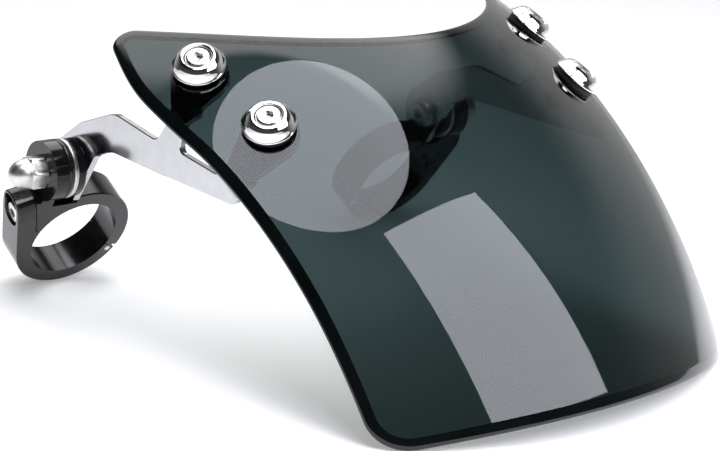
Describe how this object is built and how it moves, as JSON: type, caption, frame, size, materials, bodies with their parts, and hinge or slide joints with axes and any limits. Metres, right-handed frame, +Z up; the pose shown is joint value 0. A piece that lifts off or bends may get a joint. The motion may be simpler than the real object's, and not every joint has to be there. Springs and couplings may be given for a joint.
{
  "type": "windshield screen",
  "caption": "Smoke-tinted double-curved fly screen with a headlight cut-out, on steel brackets with tilting hinged fork clamps.",
  "frame": {"origin": "bottom centre of the part's box, on the surface it rests on with the convex face up", "axes": "+Z up, +X across the screen to the rider's right, +Y towards the fork clamps and the headlight cut-out"},
  "size_m": [0.262, 0.272, 0.1272],
  "materials": {
    "smoke_panel": "polished, smoke tinted, see-through",
    "bracket_chrome": "polished chrome plate",
    "cup_chrome": "polished chrome plate",
    "bright_screw": "bright zinc plate",
    "plated_steel": "nickel plate",
    "black_clamp": "black anodised, semi-gloss",
    "black_plastic": "black, semi-gloss",
    "rubber": "matt black"
  },
  "bodies": {
    "screen_frame": {"left_bracket": "bracket_chrome", "left_cup_washer_front": "cup_chrome", "left_cup_washer_rear": "cup_chrome", "left_inner_rubber_front": "rubber", "left_inner_rubber_rear": "rubber", "left_outer_rubber_front": "rubber", "left_outer_rubber_rear": "rubber", "left_pivot_black_washer": "black_plastic", "left_pivot_bolt": "plated_steel", "left_pivot_dome_nut": "plated_steel", "left_pivot_spacer": "black_plastic", "left_pivot_steel_washer": "plated_steel", "left_screen_nut_front": "plated_steel", "left_screen_nut_rear": "plated_steel", "left_screen_screw_front": "bright_screw", "left_screen_screw_rear": "bright_screw", "right_bracket": "bracket_chrome", "right_cup_washer_front": "cup_chrome", "right_cup_washer_rear": "cup_chrome", "right_inner_rubber_front": "rubber", "right_inner_rubber_rear": "rubber", "right_outer_rubber_front": "rubber", "right_outer_rubber_rear": "rubber", "right_pivot_black_washer": "black_plastic", "right_pivot_bolt": "plated_steel", "right_pivot_dome_nut": "plated_steel", "right_pivot_spacer": "black_plastic", "right_pivot_steel_washer": "plated_steel", "right_screen_nut_front": "plated_steel", "right_screen_nut_rear": "plated_steel", "right_screen_screw_front": "bright_screw", "right_screen_screw_rear": "bright_screw", "screen_panel": "smoke_panel"},
    "left_clamp": {"left_clamp_body": "black_clamp", "left_jaw_hinge_pin": "plated_steel"},
    "left_jaw": {"left_clamp_jaw": "black_clamp"},
    "left_clamp_screw": {"left_clamp_screw": "bright_screw"},
    "right_clamp": {"right_clamp_body": "black_clamp", "right_jaw_hinge_pin": "plated_steel"},
    "right_jaw": {"right_clamp_jaw": "black_clamp"},
    "right_clamp_screw": {"right_clamp_screw": "bright_screw"}
  },
  "joints": [
    {"name": "left_clamp_tilt", "type": "hinge", "parent": "screen_frame", "child": "left_clamp", "pos_m": [-0.1014, 0.09692, 0.05962], "axis": [1, 0, 0], "range_deg": [-35, 35]},
    {"name": "left_clamp_screw_run", "type": "slide", "parent": "left_clamp", "child": "left_clamp_screw", "axis": [-0.9673, 0.1283, -0.2189], "range_m": [0, 0.00564]},
    {"name": "left_jaw_swing", "type": "hinge", "parent": "left_clamp", "child": "left_jaw", "pos_m": [-0.07118, 0.12187, 0.01704], "axis": [0, -0.8628, -0.5056], "range_deg": [0, 7.02]},
    {"name": "right_clamp_tilt", "type": "hinge", "parent": "screen_frame", "child": "right_clamp", "pos_m": [0.1014, 0.09692, 0.05962], "axis": [1, 0, 0], "range_deg": [-35, 35]},
    {"name": "right_clamp_screw_run", "type": "slide", "parent": "right_clamp", "child": "right_clamp_screw", "axis": [0.9673, 0.1283, -0.2189], "range_m": [0, 0.00564]},
    {"name": "right_jaw_swing", "type": "hinge", "parent": "right_clamp", "child": "right_jaw", "pos_m": [0.07118, 0.12187, 0.01704], "axis": [0, 0.8628, 0.5056], "range_deg": [0, 7.02]}
  ],
  "couplings": [
    {"joint": "left_jaw_swing", "follows": "left_clamp_screw_run", "rad_per_m": 21.645},
    {"joint": "right_jaw_swing", "follows": "right_clamp_screw_run", "rad_per_m": 21.645}
  ]
}
